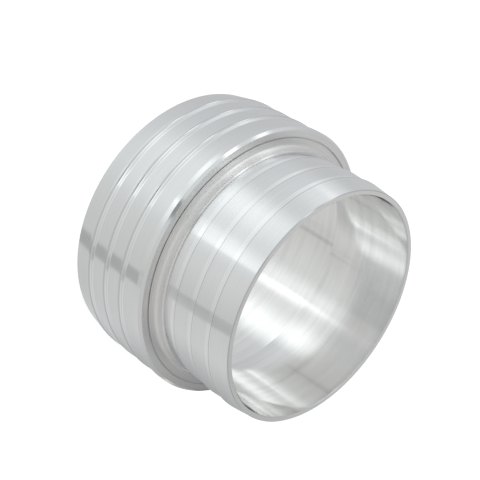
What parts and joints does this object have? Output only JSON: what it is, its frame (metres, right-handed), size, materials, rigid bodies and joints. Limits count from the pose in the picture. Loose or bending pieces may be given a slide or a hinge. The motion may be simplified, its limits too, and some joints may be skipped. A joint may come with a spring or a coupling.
{
  "type": "hose barb reducer",
  "caption": "Short open metal tube with a larger and a smaller barbed hose spigot on one axis and a flat shoulder between them, for joining hoses of different bores.",
  "frame": {"origin": "centre of the large end's rim, on the axis", "axes": "+Z along the bore axis, from the large end towards the small end"},
  "size_m": [0.0886, 0.0884, 0.0611],
  "materials": {
    "turned_aluminium": "bright turned metal with fine lathe lines, bare"
  },
  "bodies": {
    "root": {"reducer_body": "turned_aluminium"}
  },
  "joints": []
}
